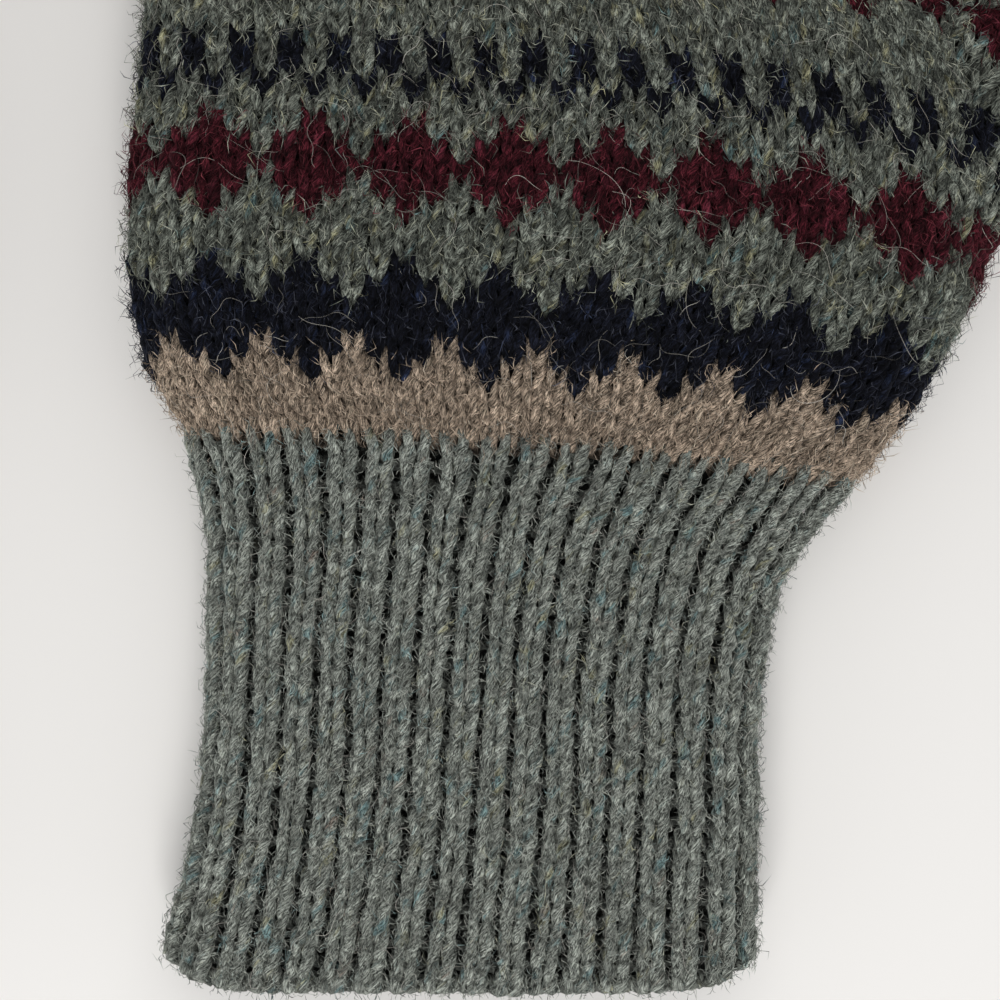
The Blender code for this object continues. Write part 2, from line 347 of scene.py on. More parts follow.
def face_cells(part, edges, side, backwards, first_column, purl=(0, 0)):
    """The stitches of one row on one face, as row_cells gives them. purl tells it for the even and the
    odd columns."""
    found = []
    for k in range(len(edges) - 1):
        column = first_column + k
        ends = (edges[k + 1], edges[k]) if backwards else (edges[k], edges[k + 1])
        found.append((part, *ends, side, column, purl[column % 2]))
    return found[::-1] if backwards else found


def row_cells(row, tube):
    """The stitches of one row in order round the mitten, as columns of an array: part, the edges that the
    yarn comes in and goes out by, side, column number, and 1 for a purl stitch."""
    height = CUFF_TOP + (row + 0.5) * ROW
    base = np.arange(BASE + 1, dtype=float)
    if tube == "cuff":
        # Knit and purl take turns all the way round, so an even column is knit in front and purl behind.
        odd = (2 * RIB_KNIT - 1) * (np.arange(BASE + 1) % 2)
        found = face_cells(0, base + odd, 1, False, 0, purl=(0, 1))
        found += face_cells(0, base - odd, -1, True, 0, purl=(1, 0))
    elif tube == "hand":
        gusset = float(gusset_half(height))
        edges = np.arange(int(round(gusset)) + 1, dtype=float)
        edges[-1] = gusset
        found = face_cells(0, base, 1, False, 0)
        found += face_cells(1, edges, 1, True, BASE) + face_cells(1, edges, -1, False, BASE)
        found += face_cells(0, base, -1, True, 0)
    else:
        part = 0 if tube == "fingers" else 1
        middle = (THUMB_FACE if part else BASE) / 2
        half = max(face_half(height, part), 0.5)
        count = max(int(round(half)), 1)
        edges = middle + np.arange(-count, count + 1, dtype=float)
        edges[0], edges[-1] = middle - half, middle + half
        first = int(middle) - count
        found = face_cells(part, edges, 1, bool(part), first)
        found += face_cells(part, edges, -1, not part, first)
    return np.array(found).T


def wobble(x, y, seed):
    """A smooth unevenness from -1 to 1 that differs from row to row."""
    return 0.5 * np.sin(x / 2.9 + 1.7 * seed) + 0.5 * np.sin(x / 5.3 - y / 4.1 + 2.9 * seed)


def row_path(row, tube, jitter):
    """The path of one row's yarn: its points, the fabric's normals there, how far in front of the
    fabric's middle it lies, its radii and its yarn numbers."""
    part, start, end, side, column, purl = (a[:, None] for a in row_cells(row, tube))
    n = len(part)
    t = (np.arange(SAMPLES) / SAMPLES * 2 - 1) * math.pi
    ribbed = tube == "cuff"
    step = CUFF_ROW if ribbed else ROW
    height = (row + 0.5) * step + (0 if ribbed else CUFF_TOP)
    lean = jitter.uniform(-TILT, TILT, (n, 1)) * np.cos(t / 2)
    across = t / TAU + (RIB_SWING if ribbed else SWING) * np.sin(2 * t) + lean
    up = REACH * np.cos(t) * (1 + jitter.uniform(-UNEVEN, UNEVEN, (n, 1)))
    weave = -np.cos(2 * t)
    if ribbed:
        passing = 0.5 * (1 + np.cos(2 * np.abs(t) - math.pi))
        weave = np.where(np.abs(t) <= math.pi / 2, weave, passing)
    depth = DEPTH * weave * np.where(purl, -1, 1) * jitter.uniform(*DEPTHS, (n, 1))
    cells = (start + end) / 2 + (end - start) * across
    if ribbed:
        climb = smooth(0, 0.5, np.cos(math.pi * np.clip(across, -0.5, 0.5)))
        depth = depth - RIB_TURN + np.where(purl, RIB_TURN - RIB_DOWN, RIB_TURN + RIB_UP) * climb
    top = SPLIT + THUMB_LENGTH if tube == "thumb" else LENGTH
    heights = np.clip(height + up * step, LOWEST, top - TIP_ROOM)
    points = fabric(part, cells, side, heights)
    normals = outward(part, cells, side, heights).reshape(-1, 3)
    phase = jitter.uniform(0, 6)
    points[..., 0] += SWERVE_X * wobble(points[..., 0] + points[..., 2], points[..., 1], phase)
    points[..., 1] += SWERVE_Y * wobble(points[..., 0], points[..., 1], phase + 1)
    radius = (RIB_YARN_R if ribbed else YARN_R) * (1 + jitter.uniform(-UNEVEN, UNEVEN, n))
    yarn = np.full(n, RIB) if ribbed else np.array([chart(row, int(k)) for k in column[:, 0]])
    return Path(
        points.reshape(-1, 3) + normals * depth.reshape(-1, 1),
        normals,
        depth.reshape(-1),
        np.repeat(radius, SAMPLES),
        np.repeat(yarn, SAMPLES),
    )


SIDES = 6  # faces round the yarn
TWIST = 5.5  # yarn for one turn of its two plies
PLY = 0.12  # how much the two plies stand out


def tube_of(path, jitter):
    """One closed yarn as a tube: points, quads, strand coordinates, lifts and yarn numbers, and the
    directions that hairs start in."""
    points = path.points
    forward = unit(np.roll(points, -1, 0) - np.roll(points, 1, 0))
    up = unit(path.normals - (path.normals * forward).sum(1, keepdims=True) * forward)
    aside = np.cross(forward, up)
    run = np.linalg.norm(np.diff(points, axis=0), axis=1)
    length = np.concatenate([[0], np.cumsum(run)]) + jitter.uniform(0, 500)
    angle = (TAU * np.arange(SIDES) / SIDES)[None, :]
    turned = angle - TAU * length[:, None] / TWIST
    r = path.radius[:, None] * (1 + PLY * np.cos(2 * turned))
    radial = up[:, None, :] * np.cos(angle)[..., None] + aside[:, None, :] * np.sin(angle)[..., None]
    ring = points[:, None, :] + radial * r[..., None]
    n = len(points)
    i = np.arange(n)[:, None] * SIDES
    j = np.arange(SIDES)[None, :]
    next_i, next_j = (i + SIDES) % (n * SIDES), (j + 1) % SIDES
    quads = np.stack([i + j, i + next_j, next_i + next_j, next_i + j], -1).reshape(-1, 4)
    strand = np.stack([length[:, None] + 0 * turned, r * np.cos(turned), r * np.sin(turned)], -1)
    lift = path.depth[:, None] + r * (radial * path.normals[:, None, :]).sum(-1)
    return {
        "points": ring.reshape(-1, 3),
        "faces": quads,
        "strand": strand.reshape(-1, 3),
        "lift": lift.reshape(-1),
        "yarn": np.repeat(path.yarn, SIDES),
        "radial": radial.reshape(-1, 3),
        "forward": np.repeat(forward, SIDES, axis=0),
    }


GUSSET_STEPS, TUBE_STEPS = 13, 30  # the lining's columns on a face of the gusset and of a tube
LINING, LINING_CUFF = 0.75, 3.5  # the lining's outer face below the fabric's middle
LINING_THICK = 0.6
LINING_LIFT = -1.2


def lining_ring(tube):
    """Part, place and side of the lining's columns, once round. A place is a stitch on the cuff and hand,
    and elsewhere a share of the face."""
    if tube in ("fingers", "thumb"):
        part = 0 if tube == "fingers" else 1
        ring = [(part, k / TUBE_STEPS, 1) for k in range(TUBE_STEPS + 1)]
        ring += [(part, k / TUBE_STEPS, -1) for k in range(TUBE_STEPS - 1, 0, -1)]
    else:
        ring = [(0, k, 1) for k in range(BASE + 1)]
        ring += [(1, k / GUSSET_STEPS, 1) for k in range(GUSSET_STEPS, -1, -1)]
        ring += [(1, k / GUSSET_STEPS, -1) for k in range(1, GUSSET_STEPS + 1)]
        ring += [(0, k, -1) for k in range(BASE, 0, -1)]
    return (np.array(column)[None, :] for column in zip(*ring))


def lining(tube, low, high, row_height):
    """The fabric's inner face: a closed sheet behind the stitches, coloured row by row."""
    levels = max(int(round((high - low) / row_height)), 1)
    heights = np.linspace(low, high, levels + 1)[:, None]
    part, place, side = lining_ring(tube)
    if tube in ("fingers", "thumb"):
        number = 0 if tube == "fingers" else 1
        half = np.array([[face_half(h, number)] for h in heights[:, 0]])
        cells = (THUMB_FACE if number else BASE) / 2 + (2 * place - 1) * half
    else:
        cells = np.where(part == 0, place, place * gusset_half(heights))
    heights = heights + 0 * cells
    middle_face = fabric(part, cells, side, heights)
    normal = outward(part, cells, side, heights)
    drop = LINING_CUFF if tube == "cuff" else LINING
    layers = [middle_face - normal * d for d in (drop, drop + LINING_THICK)]

    around = part.shape[1]
    j = np.arange(around)
    next_j = (j + 1) % around
    i = np.arange(levels)[:, None] * around
    inner_face, last = len(heights) * around, levels * around
    outer = np.stack([i + j, i + next_j, i + around + next_j, i + around + j], -1).reshape(-1, 4)
    inner = outer[:, ::-1] + inner_face
    bottom = np.stack([j, j + inner_face, next_j + inner_face, next_j], -1)
    top = np.stack([last + j, last + next_j, last + next_j + inner_face, last + j + inner_face], -1)
    faces = np.concatenate([outer, inner, bottom, top])
    if tube == "thumb":
        faces = faces[:, ::-1]  # its stitches are counted from the other edge
    if tube == "cuff":
        yarn = np.full((levels, around), RIB)
    else:
        first = int(round((low - CUFF_TOP) / ROW))
        columns = np.where(part[0] == 0, cells[0], BASE + cells[0])
        yarn = np.array([[chart(first + k, int(c)) for c in columns] for k in range(levels)])
    points = np.concatenate([layer.reshape(-1, 3) for layer in layers])
    return {
        "points": points,
        "faces": faces,
        "strand": np.zeros((len(points), 3)),
        "lift": np.full(len(points), LINING_LIFT),
        "yarn": np.concatenate([yarn.ravel(), yarn.ravel(), yarn[0], yarn[-1]]) + INSIDE,
    }


CAST_ON_HEIGHT, CAST_ON_R = 1.3, 1.0
CAST_ON_STEPS = 10  # points to a stitch
CAST_ON_SINK, CAST_ON_WAVE = 0.5, 1.4  # below a knit column's rise, and how much more over a purl column
STRAND_OUT, STRAND_R = 0.62, 0.72  # a strand's distance from the edge's middle and its radius, in CAST_ON_R


def cast_on(jitter):
    """The cast-on edge: two strands twisted round each other, once a stitch, along the ribs' wave."""
    place = np.arange(BASE * 2 * CAST_ON_STEPS) / CAST_ON_STEPS
    front = place < BASE
    cells = np.where(front, place, 2 * BASE - place)
    line = np.zeros(len(place), int), cells, np.where(front, 1, -1), np.full(len(place), CAST_ON_HEIGHT)
    wave = 0.5 + 0.5 * np.cos(math.pi * (place - RIB_KNIT))
    depth = RIB_UP - CAST_ON_SINK - CAST_ON_WAVE * (1 - wave)
    normals = outward(*line)
    centre = fabric(*line) + normals * depth[:, None]
    aside = np.cross(unit(np.roll(centre, -1, 0) - np.roll(centre, 1, 0)), normals)
    angle = TAU * BASE * 2 * np.arange(len(centre)) / len(centre)
    strands = []
    for strand in (0, 1):
        turn = (angle + math.pi * strand)[:, None]
        offset = STRAND_OUT * CAST_ON_R * (normals * np.cos(turn) + aside * np.sin(turn))
        depths = (offset * normals).sum(1)
        radius, yarn = np.full(len(centre), CAST_ON_R * STRAND_R), np.full(len(centre), RIB)
        strands.append(tube_of(Path(centre + offset, normals, depths, radius, yarn), jitter))
    return strands


GRAFT_ROOM = 1.5, 2.6  # the grafting yarns' lines below a tip's end
GRAFT_STITCHES = 1.1  # crossings for one stitch of half a face
GRAFT_STEPS = 24  # points to a crossing and back
GRAFT_WIDTH = 0.96  # share of the face
GRAFT_SWAY, GRAFT_BEND = 0.55, 0.5  # how far the way back is above the way there, and the yarn's own waves
GRAFT_LIFT = 0.9


def graft(tube, jitter):
    """The yarn that closes a tip: it weaves between the two faces, across and back a little deeper."""
    number, top, row = (1, SPLIT + THUMB_LENGTH, THUMB_ROWS) if tube == "thumb" else (0, LENGTH, FINGER_ROWS)
    middle = (THUMB_FACE if number else BASE) / 2
    along = np.array([*THUMB_DIR, 0.0]) if number else np.array([0.0, 1.0, 0.0])
    yarns = []
    for room in GRAFT_ROOM:
        height = top - room
        half = face_half(height, number)
        turns = max(int(round(half * GRAFT_STITCHES)), 2)
        u = np.arange(turns * GRAFT_STEPS) / (turns * GRAFT_STEPS)
        cells = middle + half * GRAFT_WIDTH * (1 - np.abs(4 * u - 2))
        front, back = (fabric(number, cells, side, height) for side in (1, -1))
        swing = 0.5 * np.cos(TAU * turns * 2 * u)[:, None]
        deeper = (GRAFT_SWAY * np.sign(u - 0.5) + GRAFT_BEND * np.cos(TAU * turns * 4 * u))[:, None]
        points = (front + back) / 2 + swing * (front - back) + deeper * along
        normals = np.broadcast_to(along, points.shape)
        radius, yarn = np.full(len(u), RIB_YARN_R), np.full(len(u), chart(row, 1))
        yarns.append(tube_of(Path(points, normals, GRAFT_LIFT + deeper[:, 0], radius, yarn), jitter))
    return yarns


def stacked(parts, names):
    """Meshes joined into one, with their corners' numbers shifted."""
    faces, offset = [], 0
    for part in parts:
        faces.append(part["faces"] + offset)
        offset += len(part["points"])
    whole = {name: np.concatenate([p[name] for p in parts]) for name in names}
    whole["faces"] = np.concatenate(faces)
    return whole


def joined(parts):
    return stacked(parts, ("points", "strand", "lift", "yarn"))


# -------------------------------------------------------------------------------------------- fuzz

HAIRS_PER_STITCH = 26
STRAYS_PER_STITCH = 0.3
# Hairs grow where the yarn is this far above the fabric's middle, stand out by up to so much, and have
# lengths of this scale.
CUFF_HAIR = (0.85, 0.2, 0.2)
HAND_HAIR = (0.55, 0.42, 0.28)
UNDERSIDE = 0.5  # share of the hairs on a downward face that are left out
DOWNWARD = -0.3  # a face whose direction has less height than this
PRISM = 3  # sides of a fibre
ABOVE_FLOOR = 0.12
# A hair: its root's depth in the yarn, its thickness, how far it runs along its strand, the mean and spread
# of its turn away from it, the scatter of its way, of its bend and its arch, and its waist's place.
HAIR_ROOT, HAIR_R = 0.05, (0.038, 0.072)
HAIR_ALONG, HAIR_SLANT = (0.4, 1.0), (0.15, 0.6)
HAIR_SCATTER, HAIR_BEND, HAIR_ARCH = 0.15, 0.16, 0.14
HAIR_WAIST = 0.4, 0.6
HAIR_SHAPE, HAIR_LEAST = 6.0, 0.35  # of the gamma distribution of its length, and its least length
# A long loose fibre: its points, its length and thickness, its curl in half turns, its sway and the waves of
# that, and its height above the fabric's middle: the least, the rise from there and the humps of that.
STRAY_STEPS = 16
STRAY_LENGTH, STRAY_R = (3.0, 11.0), (0.018, 0.036)
STRAY_CURL, STRAY_SWAY, STRAY_WAVES = (0.05, 0.9), 0.45, (3, 12)
STRAY_UP, STRAY_RISE, STRAY_HUMPS = 1.2, (0.15, 1.1), (0.6, 1.8)
STRAY_THINNING = 0.6  # what its tip lacks of its thickness
STRAY_FROM, STRAY_TO = 1.0, LENGTH - 4  # heights that it keeps between
STITCH = 3.0  # the width that it takes a stitch to have


def hairs(tubes, count, floor, stand, scale, jitter):
    """Short fibres that lie over the yarn or stand out of it. Each is a closed spindle with a bend."""
    names = ("points", "radial", "forward", "yarn", "lift", "strand")
    points, radial, forward, yarn, lift, strand = (np.concatenate([t[k] for t in tubes]) for k in names)
    kept = jitter.uniform(0, 1, len(lift)) > UNDERSIDE * (radial[:, 2] < DOWNWARD)
    outer = np.flatnonzero((lift > floor) & kept)
    pick = outer[jitter.randint(0, len(outer), count)]
    r, f = radial[pick], forward[pick] * jitter.choice((-1.0, 1.0), (count, 1))
    slant = np.cross(r, f) * jitter.normal(*HAIR_SLANT, (count, 1))
    way = f * jitter.uniform(*HAIR_ALONG, (count, 1)) + slant + r * jitter.uniform(0.0, stand, (count, 1))
    way += jitter.normal(0, HAIR_SCATTER, (count, 3))
    way /= np.linalg.norm(way, axis=1, keepdims=True)
    bend = jitter.normal(0, HAIR_BEND, (count, 3)) + HAIR_ARCH * r
    length = jitter.gamma(HAIR_SHAPE, scale, (count, 1)) + HAIR_LEAST
    start = points[pick] - HAIR_ROOT * r
    half = start + length * (jitter.uniform(*HAIR_WAIST, (count, 1)) * way + bend)
    side = unit(np.cross(way, r + 0.01))
    other = np.cross(way, side)
    thick = jitter.uniform(*HAIR_R, (count, 1))
    turns = [TAU * k / PRISM for k in range(PRISM)]
    waist = [half + thick * (side * math.cos(turn) + other * math.sin(turn)) for turn in turns]
    corners = np.stack([start, *waist, start + length * way], 1)
    corners[..., 2] = np.maximum(corners[..., 2], ABOVE_FLOOR)
    spindle = []
    for k in range(PRISM):
        n = (k + 1) % PRISM
        spindle += [(0, 1 + n, 1 + k), (PRISM + 1, 1 + k, 1 + n)]
    faces = np.arange(count)[:, None, None] * (PRISM + 2) + np.array(spindle)[None]
    return {
        "points": corners.reshape(-1, 3),
        "faces": faces.reshape(-1, 3),
        "shade": np.repeat(jitter.uniform(0, 1, count), PRISM + 2),
        "strand": np.repeat(strand[pick], PRISM + 2, axis=0),
        "yarn": np.repeat(yarn[pick], len(spindle)),
    }


def strays(part, cells, heights, sides_up, jitter):
    """Long fibres that curl over the fabric, from the given stitches."""
    count = len(cells)
    s = np.linspace(0, 1, STRAY_STEPS)[None, :]
    length = jitter.uniform(*STRAY_LENGTH, (count, 1))
    way = jitter.uniform(0, TAU, (count, 1))
    curl = jitter.uniform(*STRAY_CURL, (count, 1)) * jitter.choice((-1, 1), (count, 1))
    sway = STRAY_SWAY * np.sin(jitter.uniform(*STRAY_WAVES, (count, 1)) * s + way)
    heading = way + curl * s * math.pi + sway
    step = length / STRAY_STEPS
    c = cells[:, None] + np.cumsum(np.cos(heading) * step, axis=1) / STITCH
    h = np.clip(heights[:, None] + np.cumsum(np.sin(heading) * step, axis=1), STRAY_FROM, STRAY_TO)
    # A fibre that runs over an edge of the mitten goes on along its other side.
    limit = BASE if part == 0 else THUMB_FACE
    over = np.abs(c)
    side = sides_up[:, None] * np.where(c < 0, -1, 1) * np.where(over > limit, -1, 1)
    c = np.where(over > limit, 2 * limit - over, over)
    rise = jitter.uniform(*STRAY_RISE, (count, 1))
    above = STRAY_UP + rise * np.sin(s * math.pi * jitter.uniform(*STRAY_HUMPS, (count, 1))) ** 2
    points = fabric(part, c, side, h) + outward(part, c, side, h) * above[..., None]
    forward = unit(np.gradient(points, axis=1))
    aside = unit(np.cross(forward, np.array([0.1, 0.2, 1.0])))  # a way that hardly any fibre runs
    other = np.cross(aside, forward)
    thick = jitter.uniform(*STRAY_R, (count, 1, 1)) * (1 - STRAY_THINNING * s[..., None] ** 3)
    turns = [TAU * k / PRISM for k in range(PRISM)]
    ring = np.stack([points + thick * (aside * math.cos(turn) + other * math.sin(turn)) for turn in turns], 2)
    ring[..., 2] = np.maximum(ring[..., 2], ABOVE_FLOOR)
    faces = []
    for i in range(STRAY_STEPS - 1):
        for k in range(PRISM):
            a, b = i * PRISM + k, i * PRISM + (k + 1) % PRISM
            faces += [(a, b, b + PRISM), (a, b + PRISM, a + PRISM)]
    last = (STRAY_STEPS - 1) * PRISM
    faces += [(2, 1, 0), (last, last + 1, last + 2)]
    size = STRAY_STEPS * PRISM
    faces = np.arange(count)[:, None, None] * size + np.array(faces)[None]
    return {
        "points": ring.reshape(-1, 3),
        "faces": faces.reshape(-1, 3),
        "shade": np.repeat(jitter.uniform(0.2, 1, count), size),
        "strand": np.zeros((count * size, 3)),
        "yarn": np.full(count * faces.shape[1], STRAY),
    }


# ------------------------------------------------------------------------------------------- looks


def node(tree, kind, place, **values):
    """A new shader node. A value goes to the input of that name, or else to the node's setting."""
    made = tree.nodes.new(kind)
    made.location = place
    for key, value in values.items():
        if key in made.inputs:
            made.inputs[key].default_value = value
        else:
            setattr(made, key, value)
    return made


def ramp(tree, factor, stops, place):
    made = node(tree, "ShaderNodeValToRGB", place)
    elements = made.color_ramp.elements
    while len(elements) < len(stops):
        elements.new(0.5)
    for element, (position, colour) in zip(elements, stops):
        element.position = position
        element.color = (*colour, 1.0)
    tree.links.new(factor, made.inputs["Fac"])
    return made.outputs["Color"]


def eased(tree, value, source, target, place):
    """The value, from one range to another, with soft ends."""
    made = node(tree, "ShaderNodeMapRange", place, interpolation_type="SMOOTHSTEP")
    tree.links.new(value, made.inputs["Value"])
    for name, number in zip(("From Min", "From Max", "To Min", "To Max"), (*source, *target)):
        made.inputs[name].default_value = number
    return made.outputs["Result"]


def dimmed(tree, colour, factor, place):
    made = node(tree, "ShaderNodeVectorMath", place, operation="SCALE")
    tree.links.new(colour, made.inputs[0])
    tree.links.new(factor, made.inputs["Scale"])
    return made.outputs["Vector"]


def strand_noise(tree, strand, place, stretch, detail, roughness, offset=(0, 0, 0)):
    """Noise along the yarn: its first axis runs with the strand, the others across it."""
    x, y = place
    mapping = node(tree, "ShaderNodeMapping", place, Scale=stretch, Location=offset)
    tree.links.new(strand, mapping.inputs["Vector"])
    noise = node(tree, "ShaderNodeTexNoise", (x + 200, y), Scale=1.0, Detail=detail, Roughness=roughness)
    tree.links.new(mapping.outputs["Vector"], noise.inputs["Vector"])
    return noise.outputs["Fac"]


def scaled(colour, factor):
    return tuple(min(c * factor, 1.0) for c in colour)


def plain(name, base, sheen=0.8):
    """Dull wool, with the pale haze of its finest fibres as sheen."""
    material = bpy.data.materials.new(name)
    material.use_nodes = True
    material.diffuse_color = (*base, 1)
    shader = material.node_tree.nodes["Principled BSDF"]
    shader.inputs["Base Color"].default_value = (*base, 1)
    shader.inputs["Roughness"].default_value = 0.92
    shader.inputs["Specular IOR Level"].default_value = 0.1
    shader.inputs["Sheen Weight"].default_value = sheen
    shader.inputs["Sheen Roughness"].default_value = 0.35
    shader.inputs["Sheen Tint"].default_value = (*[3.0 * c + 0.03 for c in base], 1)
    return material


FLECK_STRETCH, FLECK_OFFSET = (0.12, 0.5, 0.5), 37.0
MOTTLE_STRETCH, MOTTLE_NOISE = (0.3, 0.4, 0.4), (0.36, 0.64)


def flecked(tree, colour, factor, strand, flecks, shades, mottle):
    """The colour, with patches of other shades and darker and lighter stretches along the strand."""
    for k, (fleck, threshold) in enumerate(flecks, 1):
        y = -200 - 220 * k
        patch = strand_noise(tree, strand, (-1300, y), FLECK_STRETCH, 3.0, 0.6, (FLECK_OFFSET * k, 0, 0))
        cover = ((threshold, (0, 0, 0)), (threshold + 0.1, (0.8, 0.8, 0.8)))
        mask = ramp(tree, patch, cover, (-900, y))
        stops = [(position, scaled(fleck, share)) for position, share in shades]
        streaks = ramp(tree, factor, stops, (-900, y - 110))
        mix = node(tree, "ShaderNodeMix", (-600 + 60 * k, 0), data_type="RGBA")
        tree.links.new(mask, mix.inputs[0])
        tree.links.new(colour, mix.inputs[6])
        tree.links.new(streaks, mix.inputs[7])
        colour = mix.outputs[2]
    broad = strand_noise(tree, strand, (-1300, 400), MOTTLE_STRETCH, 2.0, 0.7, (11.0, 3.0, 0))
    level = eased(tree, broad, MOTTLE_NOISE, mottle, (-600, 300))
    return dimmed(tree, colour, level, (-300, 100))


def wool(name, base, flecks, mottle, gap, light):
    """Heathered yarn: fibres of lighter and darker shades along the strand, flecks of other colours, and
    painted shade that darkens the yarn where it lies deep in the hollows between the strands."""
    material = plain(name, base)
    tree = material.node_tree
    shader = tree.nodes["Principled BSDF"]
    strand = node(tree, "ShaderNodeAttribute", (-1500, 0), attribute_name="strand").outputs["Vector"]
    fine = strand_noise(tree, strand, (-1300, 100), (0.9, 5.2, 5.2), 4.0, 0.7)
    shades = ((0.41, 0.12), (0.48, 0.7), (0.54, 1.3), (0.61, light))
    colour = ramp(tree, fine, [(position, scaled(base, share)) for position, share in shades], (-900, 100))
    colour = flecked(tree, colour, fine, strand, flecks, ((0.41, 0.12), (0.5, 1.0), (0.61, 1.9)), mottle)
    # Painted shade: the colour darkens with the yarn's lift, down to the given share where the yarn lies
    # deepest below the fabric's outer face.
    lift = node(tree, "ShaderNodeAttribute", (-600, -300), attribute_name="lift").outputs["Fac"]
    painted_hollow_shade = eased(tree, lift, (-0.15, 1.35), (gap, 1.0), (-400, -300))
    tree.links.new(dimmed(tree, colour, painted_hollow_shade, (-200, 0)), shader.inputs["Base Color"])
    bump = node(tree, "ShaderNodeBump", (-300, -500), Strength=0.6, Distance=0.00025)
    tree.links.new(fine, bump.inputs["Height"])
    tree.links.new(bump.outputs["Normal"], shader.inputs["Normal"])
    return material


def fibre(name, base, pale, flecks=(), mottle=(1.0, 1.0)):
    """Loose fibres: most near the yarn's shade there, a few much paler."""
    material = plain(name, base, sheen=0.4)
    tree = material.node_tree
    shade = node(tree, "ShaderNodeAttribute", (-700, 0), attribute_name="shade").outputs["Fac"]
    stops = ((0.0, scaled(base, 0.12)), (0.35, scaled(base, 0.7)), (0.7, scaled(base, 1.7)), (1.0, pale))
    colour = ramp(tree, shade, stops, (-900, 0))
    strand = node(tree, "ShaderNodeAttribute", (-1500, -400), attribute_name="strand").outputs["Vector"]
    colour = flecked(tree, colour, shade, strand, flecks, ((0.0, 0.15), (0.5, 1.0), (1.0, 2.8)), mottle)
    tree.links.new(colour, tree.nodes["Principled BSDF"].inputs["Base Color"])
    return material


TEAL, OLIVE, RUST = (0.085, 0.150, 0.155), (0.200, 0.190, 0.110), (0.150, 0.105, 0.082)
SAND, EARTH = (0.27, 0.22, 0.165), (0.09, 0.07, 0.05)
BLUE, WINE = (0.018, 0.026, 0.055), (0.085, 0.015, 0.024)

# Name, base colour, flecks with the noise above which each shows, how dark and light its stretches are, the
# painted shade of its hollows, its lightest fibres and the painted shade of its inner face as shares of the
# base, and its palest loose fibres.
Shade = namedtuple("Shade", "name base flecks mottle gap light inside pale")
GREENS = ((OLIVE, 0.56), (TEAL, 0.60))
RIBS = ((TEAL, 0.57), (RUST, 0.64), (OLIVE, 0.60))
BEIGES = ((SAND, 0.58), (EARTH, 0.62))
BLUES = ((BLUE, 0.58),)
WINES = ((WINE, 0.56),)
SHADES = {
    GREEN: Shade(
        "green", (0.112, 0.120, 0.101), GREENS, (0.38, 1.52), 0.04, 2.6, 0.22, (0.36, 0.36, 0.29)
    ),
    RIB: Shade("rib", (0.182, 0.193, 0.170), RIBS, (0.68, 1.24), 0.12, 2.6, 0.42, (0.36, 0.36, 0.32)),
    BEIGE: Shade(
        "beige", (0.262, 0.205, 0.155), BEIGES, (0.70, 1.26), 0.04, 2.6, 0.22, (0.50, 0.43, 0.34)
    ),
    NAVY: Shade(
        "navy", (0.0040, 0.0046, 0.0080), BLUES, (0.42, 1.48), 0.04, 3.2, 0.22, (0.085, 0.09, 0.115)
    ),
    BURGUNDY: Shade(
        "burgundy", (0.034, 0.0050, 0.0078), WINES, (0.42, 1.48), 0.04, 3.2, 0.22, (0.20, 0.045, 0.055)
    ),
}
FIBRE_LIGHT = 1.25  # a loose fibre's base colour, in its yarn's
STRAY_BASE, STRAY_PALE = (0.24, 0.225, 0.20), (0.60, 0.57, 0.51)


def make_materials():
    """The yarns' and the loose fibres' materials, by yarn number."""
    yarns, fibres = {}, {}
    for number, s in SHADES.items():
        yarns[number] = wool(f"{s.name}_wool", s.base, s.flecks, s.mottle, s.gap, s.light)
        # Painted shade: the lining takes its yarn's colour darkened by a share, so that the inner face
        # showing through the gaps between stitches looks shaded.
        yarns[number + INSIDE] = plain(f"{s.name}_inside", scaled(s.base, s.inside), sheen=0.0)
        fibres[number] = fibre(f"{s.name}_fibre", scaled(s.base, FIBRE_LIGHT), s.pale, s.flecks, s.mottle)
    fibres[STRAY] = fibre("stray_fibre", STRAY_BASE, STRAY_PALE)
    return yarns, fibres


# ------------------------------------------------------------------------------------------ pieces

# Each band: its name, CAD node, slot, tube, first and last row. Cuff rows count from the cuff's edge, the
# others from the cuff's top.
BANDS = (
    ("rib_lower", "ribbed_cuff", "rib_wool", "cuff", 0, 14),
    ("rib_upper", "ribbed_cuff", "rib_wool", "cuff", 14, CUFF_ROWS),
    ("beige", "beige_band", "beige_wool", "hand", 0, 4),
    ("navy_zigzag", "navy_zigzag_band", "navy_wool", "hand", 4, 8),
    ("lower_green", "lower_green_band", "green_wool", "hand", 8, 11),
    ("burgundy", "burgundy_band", "burgundy_wool", "hand", 11, 16),
    ("checker", "checker_band", "green_wool", "hand", 16, 23),
    ("knuckle", "knuckle_band", "burgundy_wool", "hand", 23, SPLIT_ROW),
    ("finger_green", "finger_green_band", "green_wool", "fingers", SPLIT_ROW, 30),
    ("finger_navy", "finger_navy_band", "navy_wool", "fingers", 30, 35),
    ("finger_beige", "finger_beige_band", "beige_wool", "fingers", 35, 40),
    ("finger_upper_navy", "finger_upper_navy_band", "navy_wool", "fingers", 40, 45),
    ("finger_burgundy", "finger_burgundy_band", "burgundy_wool", "fingers", 45, 52),
    ("finger_tip", "finger_tip", "green_wool", "fingers", 52, FINGER_ROWS),
    ("thumb_base", "thumb_base_band", "navy_wool", "thumb", SPLIT_ROW, 35),
    ("thumb_beige", "thumb_beige_band", "beige_wool", "thumb", 35, 40),
    ("thumb_tip", "thumb_tip", "green_wool", "thumb", 40, THUMB_ROWS),
)
# What the materials read from a mesh's points.
ATTRIBUTES = (("strand", "FLOAT_VECTOR", "vector"), ("lift", "FLOAT", "value"), ("shade", "FLOAT", "value"))
CUFF_LINING_FROM = 2.4
TIP_LINING_ROOM = 1.6  # the lining ends this far below a tip's end
STRAY_ROOM = 12  # long fibres start below a tip by this


